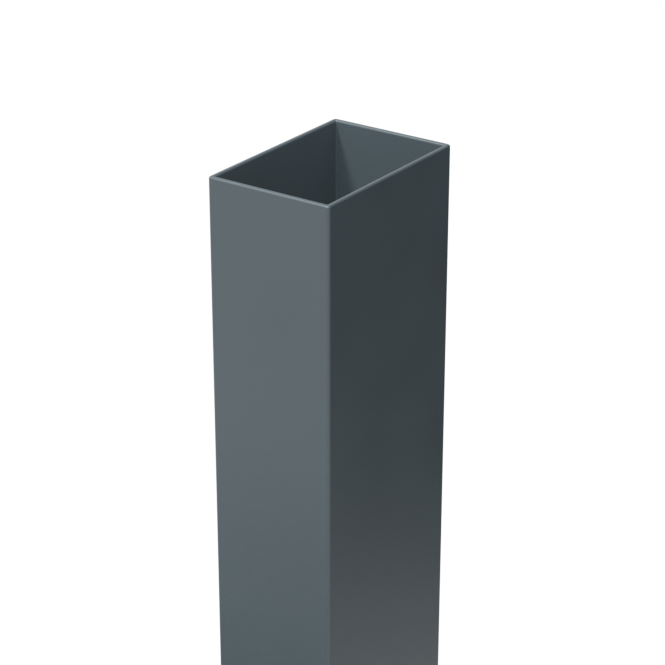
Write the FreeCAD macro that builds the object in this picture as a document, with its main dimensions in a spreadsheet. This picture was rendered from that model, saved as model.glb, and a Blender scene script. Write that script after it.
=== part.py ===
"""Rectangular hollow steel fence post, cut square and open at both ends.

The section is rolled from strip and welded along the inside of one wide wall.
The post stands along +Z with the middle of its foot end at the origin.
The fence line runs along X, so the narrow faces look along Y and the wide ones along X.
Every driving size is a cell of the sheet, in millimetres.
"""

import FreeCAD, Part
import Sketcher
import math
import os

NODE = "fence_post"
SHEET = "Sizes"

# Alias, size in millimetres and meaning of each driving dimension
SIZES = (
    ("post_length", 1500.0, "foot end to top rim"),
    ("section_width", 40.0, "outside, along X"),
    ("section_depth", 60.0, "outside, along Y"),
    ("wall", 1.5, "thickness of the strip"),
    ("corner_radius", 1.0, "outside of the four long edges"),
    ("inner_radius", 0.3, "inside of the four long edges"),
    ("end_round", 0.65, "broken and coated edges of the two cut ends"),
    ("bead_width", 2.6, "weld bead, across its foot on the wall"),
    ("bead_height", 0.4, "weld bead, above the wall"),
    ("bead_clear", 15.0, "from each cut end to the bead, ground off there to let a plug in"),
)

# The share of the wall that a broken edge may take from each side at most
END_ROUND_SHARE = 0.45

# The ends of a sketch curve, and the sketch's own axes, as sketches number them
START, END = range(1, 3)
X_AXIS, Y_AXIS = range(-1, -3, -1)


def add_sheet(doc):
    """The driving dimensions, one row each: size with its alias, then what it measures."""
    sheet = doc.addObject("Spreadsheet::Sheet", SHEET)
    for row, (alias, size, meaning) in enumerate(SIZES, start=1):
        sheet.set(f"A{row}", str(size))
        sheet.setAlias(f"A{row}", alias)
        sheet.set(f"B{row}", meaning)
    doc.recompute()
    return sheet


def add_sketch(body, name):
    """An empty sketch on the body's own XY plane, which is the foot end."""
    sketch = body.newObject("Sketcher::SketchObject", name)
    ground = next(f for f in body.Origin.OriginFeatures if f.Role == "XY_Plane")
    sketch.AttachmentSupport = [(ground, "")]
    sketch.MapMode = "FlatFace"
    return sketch


def add_line(sketch, start, end):
    """A straight side between two (x, y) points."""
    return sketch.addGeometry(Part.LineSegment(FreeCAD.Vector(*start), FreeCAD.Vector(*end)))


def add_corner(sketch, x, y, radius, quarter):
    """A quarter circle about (x, y), where quarter 0 opens towards +X and +Y."""
    circle = Part.Circle(FreeCAD.Vector(x, y), FreeCAD.Vector(0, 0, 1), radius)
    start = quarter * math.pi / 2
    return sketch.addGeometry(Part.ArcOfCircle(circle, start, start + math.pi / 2))


def tie(sketch, kind, *places):
    """Adds one constraint without a size."""
    sketch.addConstraint(Sketcher.Constraint(kind, *places))


def drive(sketch, sheet, alias, kind, *places):
    """Adds one dimension and binds it to the cell of that alias."""
    index = sketch.addConstraint(Sketcher.Constraint(kind, *places, getattr(sheet, alias)))
    sketch.setExpression(f"Constraints[{index}]", f"{SHEET}.{alias}")


def add_outline(sketch, x, y, radius):
    """A rectangle about the origin, of half sizes x and y, with four like round corners."""
    front = add_line(sketch, (radius - x, -y), (x - radius, -y))
    right = add_line(sketch, (x, radius - y), (x, y - radius))
    back = add_line(sketch, (x - radius, y), (radius - x, y))
    left = add_line(sketch, (-x, y - radius), (-x, radius - y))
    sides = [front, right, back, left]
    corners = [
        add_corner(sketch, x - radius, radius - y, radius, 3),
        add_corner(sketch, x - radius, y - radius, radius, 0),
        add_corner(sketch, radius - x, y - radius, radius, 1),
        add_corner(sketch, radius - x, radius - y, radius, 2),
    ]
    # Anticlockwise, each side runs into the corner that follows it
    for side, corner, next_side in zip(sides, corners, sides[1:] + sides[:1]):
        tie(sketch, "Tangent", side, END, corner, START)
        tie(sketch, "Tangent", corner, END, next_side, START)
    for corner in corners[1:]:
        tie(sketch, "Equal", corners[0], corner)
    tie(sketch, "Symmetric", front, START, front, END, Y_AXIS)
    tie(sketch, "Symmetric", left, START, left, END, X_AXIS)
    tie(sketch, "Horizontal", back)
    tie(sketch, "Vertical", right)
    return front, right, back, left, corners[0]


def add_section(body, sheet):
    """Outside and inside outline of the rolled strip, one wall apart."""
    section = add_sketch(body, "section")
    x = sheet.section_width / 2
    y = sheet.section_depth / 2
    front, right, back, left, corner = add_outline(section, x, y, sheet.corner_radius)
    drive(section, sheet, "section_width", "DistanceX", left, START, right, START)
    drive(section, sheet, "section_depth", "DistanceY", front, START, back, START)
    drive(section, sheet, "corner_radius", "Radius", corner)

    x -= sheet.wall
    y -= sheet.wall
    inner_front, _, _, inner_left, inner_corner = add_outline(section, x, y, sheet.inner_radius)
    drive(section, sheet, "wall", "DistanceX", left, START, inner_left, START)
    drive(section, sheet, "wall", "DistanceY", front, START, inner_front, START)
    drive(section, sheet, "inner_radius", "Radius", inner_corner)
    return section


def add_tube(body, section):
    """The section drawn out to the post's length."""
    tube = body.newObject("PartDesign::Pad", "tube")
    tube.Profile = section
    tube.setExpression("Length", f"{SHEET}.post_length")
    return tube


def break_end_edges(body, tube):
    """Rounds every edge of both cut ends, as the saw burr is taken off before coating."""
    ends = [
        f"Edge{number}"
        for number, edge in enumerate(tube.Shape.Edges, start=1)
        if edge.BoundBox.ZLength < tube.Shape.BoundBox.ZLength / 2
    ]
    broken = body.newObject("PartDesign::Fillet", "broken_ends")
    broken.Base = (tube, ends)
    broken.setExpression("Radius", f"min({SHEET}.end_round; {SHEET}.wall * {END_ROUND_SHARE})")


def add_bead_profile(body, sheet):
    """The crowned end of the weld bead, in a sketch whose Y axis lies on the inside of the +X wall."""
    profile = add_sketch(body, "bead_profile")
    profile.setExpression("AttachmentOffset.Base.x", f"{SHEET}.section_width / 2 - {SHEET}.wall")
    profile.setExpression("AttachmentOffset.Base.z", f"{SHEET}.bead_clear")
    half = sheet.bead_width / 2
    top = FreeCAD.Vector(-sheet.bead_height, 0)
    foot = add_line(profile, (0, -half), (0, half))
    crown = profile.addGeometry(Part.Arc(FreeCAD.Vector(0, half), top, FreeCAD.Vector(0, -half)))
    crest = profile.addGeometry(Part.Point(top), True)
    tie(profile, "Coincident", crown, START, foot, END)
    tie(profile, "Coincident", crown, END, foot, START)
    tie(profile, "Symmetric", foot, START, foot, END, X_AXIS)
    tie(profile, "PointOnObject", foot, START, Y_AXIS)
    tie(profile, "PointOnObject", crest, START, crown)
    tie(profile, "PointOnObject", crest, START, X_AXIS)
    drive(profile, sheet, "bead_width", "DistanceY", foot, START, foot, END)
    drive(profile, sheet, "bead_height", "DistanceX", crest, START, foot, END)
    return profile


def add_weld_bead(body, profile):
    """The low crown that the seam weld leaves along the inside, clear of both cut ends."""
    bead = body.newObject("PartDesign::Pad", "weld_bead")
    bead.Profile = profile
    bead.setExpression("Length", f"{SHEET}.post_length - 2 * {SHEET}.bead_clear")


def check(doc, body):
    """Stops the build if a feature failed or the post isn't one sound solid."""
    for item in doc.Objects:
        if "Invalid" in item.State or "Error" in item.State:
            raise RuntimeError(f"{item.Label} failed: {item.State}")
        if item.isDerivedFrom("Sketcher::SketchObject") and not item.FullyConstrained:
            raise RuntimeError(f"{item.Label} isn't fully constrained")
    shape = body.Shape
    if shape.isNull() or not shape.isValid() or len(shape.Solids) != 1:
        raise RuntimeError(f"{body.Label} isn't one valid solid")


def main():
    doc = FreeCAD.newDocument("FencePost")
    sheet = add_sheet(doc)
    body = doc.addObject("PartDesign::Body", NODE)
    body.Label = NODE
    tube = add_tube(body, add_section(body, sheet))
    doc.recompute()
    break_end_edges(body, tube)
    add_weld_bead(body, add_bead_profile(body, sheet))
    doc.recompute()
    check(doc, body)

    os.makedirs("parts", exist_ok=True)
    body.Shape.exportStep(os.path.join("parts", f"{body.Label}.step"))
    box = body.Shape.optimalBoundingBox()
    print(f"{body.Label}: {box.XLength:.2f} x {box.YLength:.2f} x {box.ZLength:.2f} mm")
    print(f"volume {body.Shape.Volume:.1f} mm3, {len(body.Shape.Faces)} faces")


main()
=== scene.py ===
"""Coated steel fence post, open at the top, in a plain white studio.

The post is one rolled and welded tube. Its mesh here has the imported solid's form, in quads
with smooth edges, and a satin powder coat. Lengths are in metres and angles in degrees,
except where a name or a comment says otherwise.
"""

import math

import bpy
from mathutils import Euler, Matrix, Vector


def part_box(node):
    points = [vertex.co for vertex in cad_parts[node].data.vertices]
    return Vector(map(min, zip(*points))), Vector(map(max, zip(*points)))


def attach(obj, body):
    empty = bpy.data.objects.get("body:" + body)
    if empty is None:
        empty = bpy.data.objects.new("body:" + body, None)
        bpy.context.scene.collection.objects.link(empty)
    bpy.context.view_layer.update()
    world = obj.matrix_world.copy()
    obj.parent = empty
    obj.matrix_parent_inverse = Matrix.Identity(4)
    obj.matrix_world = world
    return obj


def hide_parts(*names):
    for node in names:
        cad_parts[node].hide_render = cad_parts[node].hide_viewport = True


NODE = "fence_post"

# Sizes of the tube that its box doesn't give
WALL = 0.0015
CORNER_RADIUS = 0.0010
INNER_RADIUS = 0.0003
END_ROUND = 0.00065
BEAD_WIDTH = 0.0026
BEAD_HEIGHT = 0.0004
BEAD_CLEAR = 0.015
BEAD_RUN_OUT = 0.001

# How finely the mesh follows the round edges, the bead and the length
CORNER_STEPS = 10
END_STEPS = 8
BEAD_STEPS = 8
LENGTH_SPANS = 30

# The most that large faces can count for where normals are averaged
AREA_WEIGHT = 100

# The photograph's side and focal length in pixels, and the way the camera looks
PHOTO_SIDE = 665
FOCAL_LENGTH = 2199.1
CAMERA_AZIMUTH = 35.01
CAMERA_ELEVATION = 24.25
SENSOR_WIDTH_MM = 36.0

# The pixel of the photograph where the post's nearest top corner lies, and how far along the view
CORNER_PIXEL = (328.61, 206.81)
CORNER_DISTANCE = 0.5726

# Anthracite powder coat: mean colour and gloss, then how tone, gloss and skin vary over it
COAT_COLOUR = (0.052, 0.070, 0.080)
COAT_ROUGHNESS = 0.42
COAT_IOR = 1.5
TONE_SIZE = 0.04
TONE_CHANGE = 0.08
GLOSS_SIZE = 0.02
ROUGHNESS_CHANGE = 0.06
PEEL_SIZE = 0.0022
PEEL_DEPTH = 0.00004
GRAIN_SIZE = 0.0003
GRAIN_DEPTH = 0.00001

# Studio light: a faint even dome, and two soft lamps with the ways that their light travels
WHITE = (1.0, 1.0, 1.0, 1.0)
DOME_STRENGTH = 0.5
KEY_STRENGTH = 3.2
KEY_WIDTH = 10.0
KEY_TRAVEL = (0.32, 0.62, -1.0)
TOP_STRENGTH = 3.5
TOP_WIDTH = 53.0
TOP_TRAVEL = (-0.34, 0.64, -1.0)

# The floor's grey where it is seen or mirrored, and where it only throws light back
FLOOR_SIDE = 60.0
FLOOR_SEEN = 0.46
FLOOR_BOUNCE = 0.065

# Black cards that only gloss sees. They stand across the ways in which the two near faces
# and the rim mirror the camera, between a lower and an upper height.
BLACK = (0.0, 0.0, 0.0, 1.0)
CARD_WIDTH = 0.8
RIGHT_CARD_DISTANCE = 0.5
RIGHT_CARD_HEIGHTS = (1.05, 2.2)
LEFT_CARD_DISTANCE = 0.3
LEFT_CARD_HEIGHTS = (0.2, 1.215)
RIM_CARD_DISTANCE = 0.5
RIM_CARD_HEIGHTS = (1.85, 2.2)


def section_points(width, depth):
    """Places round the section, anticlockwise from the bead in the middle of the +X wall.

    Each is an outside point, the inside point across the wall from it, and the bead's height there.
    """
    outside_centre = Vector((width / 2 - CORNER_RADIUS, depth / 2 - CORNER_RADIUS))
    inside_centre = Vector((width / 2 - WALL - INNER_RADIUS, depth / 2 - WALL - INNER_RADIUS))
    crown_radius = (BEAD_WIDTH**2 / 4 + BEAD_HEIGHT**2) / (2 * BEAD_HEIGHT)
    section = []
    for step in range(BEAD_STEPS + 1):
        y = BEAD_WIDTH * (step / BEAD_STEPS - 0.5)
        crown = math.sqrt(crown_radius**2 - y**2) - crown_radius + BEAD_HEIGHT
        section.append((Vector((width / 2, y)), Vector((width / 2 - WALL, y)), crown))
    for quarter, (side_x, side_y) in enumerate(((1, 1), (-1, 1), (-1, -1), (1, -1))):
        side = Vector((side_x, side_y))
        for step in range(CORNER_STEPS + 1):
            angle = math.radians(90 * (quarter + step / CORNER_STEPS))
            way = Vector((math.cos(angle), math.sin(angle)))
            outside = outside_centre * side + way * CORNER_RADIUS
            inside = inside_centre * side + way * INNER_RADIUS
            section.append((outside, inside, 0.0))
    return section


def wall_loop(length):
    """Depth into the wall, height and share of the bead that stands there, once round the wall.

    The loop goes up the outside, over the rim, down the inside and under the foot.
    """
    turns = [math.radians(90 * step / END_STEPS) for step in range(END_STEPS + 1)]
    # Centres of the rounds: their heights at the foot and the rim, and their depths into the wall
    low, high = END_ROUND, length - END_ROUND
    near, far = END_ROUND, WALL - END_ROUND
    full_bead = BEAD_CLEAR + BEAD_RUN_OUT
    span_length = (length - 2 * full_bead) / LENGTH_SPANS
    heights = [full_bead + span_length * span for span in range(LENGTH_SPANS + 1)]

    loop = [(0.0, height, 0.0) for height in heights]
    loop += [(near - END_ROUND * math.cos(t), high + END_ROUND * math.sin(t), 0.0) for t in turns]
    loop += [(far + END_ROUND * math.sin(t), high + END_ROUND * math.cos(t), 0.0) for t in turns]
    loop.append((WALL, length - BEAD_CLEAR, 0.0))
    loop += [(WALL, height, 1.0) for height in reversed(heights)]
    loop.append((WALL, BEAD_CLEAR, 0.0))
    loop += [(far + END_ROUND * math.cos(t), low - END_ROUND * math.sin(t), 0.0) for t in turns]
    loop += [(near - END_ROUND * math.sin(t), low - END_ROUND * math.cos(t), 0.0) for t in turns]
    return loop


def build_post():
    """The coated tube as one closed mesh of quads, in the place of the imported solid."""
    low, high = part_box(NODE)
    width, depth, length = high - low
    section = section_points(width, depth)
    loop = wall_loop(length)
    points = []
    for wall_depth, height, bead_share in loop:
        for outside, inside, crown in section:
            x, y = outside.lerp(inside, wall_depth / WALL)
            points.append((x - crown * bead_share, y, low.z + height))
    around = len(section)
    faces = []
    for row in range(len(loop)):
        this_row = row * around
        next_row = (row + 1) % len(loop) * around
        for column in range(around):
            beside = (column + 1) % around
            faces.append((this_row + column, this_row + beside, next_row + beside, next_row + column))
    mesh = bpy.data.meshes.new("coated_post")
    mesh.from_pydata(points, [], faces)
    mesh.shade_smooth()
    post = bpy.data.objects.new("coated_post", mesh)
    bpy.context.scene.collection.objects.link(post)
    # Weighting by area keeps the broad faces flat up to their round edges
    post.modifiers.new("flat_faces", "WEIGHTED_NORMAL").weight = AREA_WEIGHT
    return post


def add_noise(tree, grain_size):
    """Soft noise with grains of one size, laid out in the object's own metres."""
    place = tree.nodes.new("ShaderNodeTexCoord")
    noise = tree.nodes.new("ShaderNodeTexNoise")
    noise.inputs["Scale"].default_value = 1 / grain_size
    tree.links.new(place.outputs["Object"], noise.inputs["Vector"])
    return noise.outputs["Fac"]


def add_bump(tree, grain_size, depth):
    """Low hills of one grain size, which stand up to the given depth above the hollows."""
    bump = tree.nodes.new("ShaderNodeBump")
    bump.inputs["Distance"].default_value = depth
    tree.links.new(add_noise(tree, grain_size), bump.inputs["Height"])
    return bump


def coat_material():
    """Satin powder coat: faint clouds in tone and gloss, a flat orange peel and a fine grain on it."""
    material = bpy.data.materials.new("coat")
    material.use_nodes = True
    tree = material.node_tree
    shader = tree.nodes["Principled BSDF"]
    shader.inputs["IOR"].default_value = COAT_IOR

    tone = tree.nodes.new("ShaderNodeValToRGB")
    for stop, share in zip(tone.color_ramp.elements, (1 - TONE_CHANGE, 1 + TONE_CHANGE)):
        stop.color = [level * share for level in COAT_COLOUR] + [1.0]
    tree.links.new(add_noise(tree, TONE_SIZE), tone.inputs["Fac"])
    tree.links.new(tone.outputs["Color"], shader.inputs["Base Color"])

    gloss = tree.nodes.new("ShaderNodeMapRange")
    gloss.inputs["To Min"].default_value = COAT_ROUGHNESS - ROUGHNESS_CHANGE
    gloss.inputs["To Max"].default_value = COAT_ROUGHNESS + ROUGHNESS_CHANGE
    tree.links.new(add_noise(tree, GLOSS_SIZE), gloss.inputs["Value"])
    tree.links.new(gloss.outputs["Result"], shader.inputs["Roughness"])

    peel = add_bump(tree, PEEL_SIZE, PEEL_DEPTH)
    grain = add_bump(tree, GRAIN_SIZE, GRAIN_DEPTH)
    tree.links.new(peel.outputs["Normal"], grain.inputs["Normal"])
    tree.links.new(grain.outputs["Normal"], shader.inputs["Normal"])
    return material


def add_camera(corner):
    """The photograph's camera, placed so that the post's nearest top corner falls on its pixel."""
    data = bpy.data.cameras.new("camera")
    data.sensor_width = SENSOR_WIDTH_MM
    data.lens = SENSOR_WIDTH_MM * FOCAL_LENGTH / PHOTO_SIDE
    camera = bpy.data.objects.new("camera", data)
    bpy.context.scene.collection.objects.link(camera)
    turn = Euler((math.radians(90 - CAMERA_ELEVATION), 0, math.radians(CAMERA_AZIMUTH)))
    right, down = ((pixel - PHOTO_SIDE / 2) / FOCAL_LENGTH for pixel in CORNER_PIXEL)
    seen = Vector((right, -down, -1)) * CORNER_DISTANCE
    camera.rotation_euler = turn
    camera.location = corner - turn.to_matrix() @ seen
    bpy.context.scene.camera = camera


def seen_or_mirrored(tree):
    """A socket that is 1 for rays from the camera, a gloss or a clear material, and 0 for other rays."""
    path = tree.nodes.new("ShaderNodeLightPath")
    either = path.outputs["Is Camera Ray"]
    for kind in ("Is Glossy Ray", "Is Transmission Ray"):
        widen = tree.nodes.new("ShaderNodeMath")
        widen.operation = "MAXIMUM"
        tree.links.new(either, widen.inputs[0])
        tree.links.new(path.outputs[kind], widen.inputs[1])
        either = widen.outputs["Value"]
    return either


def light_dome():
    """An even white surrounding, at strength 1 where it is seen or mirrored."""
    world = bpy.data.worlds.new("dome")
    bpy.context.scene.world = world
    world.use_nodes = True
    tree = world.node_tree
    level = tree.nodes.new("ShaderNodeMapRange")
    level.inputs["To Min"].default_value = DOME_STRENGTH
    level.inputs["To Max"].default_value = 1.0
    tree.links.new(seen_or_mirrored(tree), level.inputs["Value"])
    background = tree.nodes["Background"]
    background.inputs["Color"].default_value = WHITE
    tree.links.new(level.outputs["Result"], background.inputs["Strength"])


def add_lamp(name, strength, width, travel):
    """A soft lamp so far off that its light comes from one way, within an angle of its width."""
    data = bpy.data.lights.new(name, "SUN")
    data.energy = strength
    data.angle = math.radians(width)
    lamp = bpy.data.objects.new(name, data)
    bpy.context.scene.collection.objects.link(lamp)
    lamp.rotation_euler = Vector(travel).to_track_quat("-Z", "Y").to_euler()


def add_sheet(name, corners, material):
    """One flat sheet of the stage through four corners."""
    mesh = bpy.data.meshes.new(name)
    mesh.from_pydata(corners, [], [(0, 1, 2, 3)])
    mesh.materials.append(material)
    sheet = bpy.data.objects.new(name, mesh)
    bpy.context.scene.collection.objects.link(sheet)
    return sheet


def floor_material():
    """Matt and white where it is seen or mirrored, and dark where it would light the post from below."""
    material = bpy.data.materials.new("floor")
    material.use_nodes = True
    tree = material.node_tree
    tree.nodes.remove(tree.nodes["Principled BSDF"])
    grey = tree.nodes.new("ShaderNodeMapRange")
    grey.inputs["To Min"].default_value = FLOOR_BOUNCE
    grey.inputs["To Max"].default_value = FLOOR_SEEN
    matt = tree.nodes.new("ShaderNodeBsdfDiffuse")
    tree.links.new(seen_or_mirrored(tree), grey.inputs["Value"])
    tree.links.new(grey.outputs["Result"], matt.inputs["Color"])
    tree.links.new(matt.outputs["BSDF"], tree.nodes["Material Output"].inputs["Surface"])
    return material


def add_floor():
    """The level sheet that the post stands on."""
    half = FLOOR_SIDE / 2
    corners = [(-half, -half, 0), (half, -half, 0), (half, half, 0), (-half, half, 0)]
    add_sheet("floor", corners, floor_material())


def black_material():
    """Black without any gloss of its own."""
    material = bpy.data.materials.new("black_card")
    material.use_nodes = True
    shader = material.node_tree.nodes["Principled BSDF"]
    shader.inputs["Base Color"].default_value = BLACK
    shader.inputs["Specular IOR Level"].default_value = 0.0
    return material


def add_card(name, way, distance, heights):
    """A black card across the way from the post's axis, there only for gloss to mirror."""
    middle = way * distance
    along = Vector((-way.y, way.x, 0)) * CARD_WIDTH / 2
    low, high = (Vector((0, 0, height)) for height in heights)
    corners = [middle - along + low, middle + along + low, middle + along + high, middle - along + high]
    card = add_sheet(name, corners, black_material())
    card.visible_camera = False
    card.visible_diffuse = False
    card.visible_shadow = False


def add_cards():
    """The dark surroundings that the photograph's gloss shows, on each near face and along the rim."""
    turn = math.radians(CAMERA_AZIMUTH)
    x, y = math.sin(turn), math.cos(turn)
    add_card("right_card", Vector((x, y, 0)), RIGHT_CARD_DISTANCE, RIGHT_CARD_HEIGHTS)
    add_card("left_card", Vector((-x, -y, 0)), LEFT_CARD_DISTANCE, LEFT_CARD_HEIGHTS)
    add_card("rim_card", Vector((-x, y, 0)), RIM_CARD_DISTANCE, RIM_CARD_HEIGHTS)


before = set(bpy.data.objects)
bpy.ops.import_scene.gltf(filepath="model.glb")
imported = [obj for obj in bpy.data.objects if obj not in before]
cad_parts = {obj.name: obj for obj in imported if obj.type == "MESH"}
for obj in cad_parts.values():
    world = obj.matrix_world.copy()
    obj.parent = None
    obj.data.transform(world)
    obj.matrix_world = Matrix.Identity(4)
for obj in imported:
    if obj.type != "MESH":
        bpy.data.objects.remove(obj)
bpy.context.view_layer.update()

post = build_post()
post.data.materials.append(coat_material())
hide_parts(NODE)
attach(post, "root")

low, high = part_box(NODE)
add_camera(Vector((high.x, low.y, high.z)))
light_dome()
add_lamp("key", KEY_STRENGTH, KEY_WIDTH, KEY_TRAVEL)
add_lamp("top_light", TOP_STRENGTH, TOP_WIDTH, TOP_TRAVEL)
add_floor()
add_cards()
bpy.context.scene.view_settings.view_transform = "Standard"
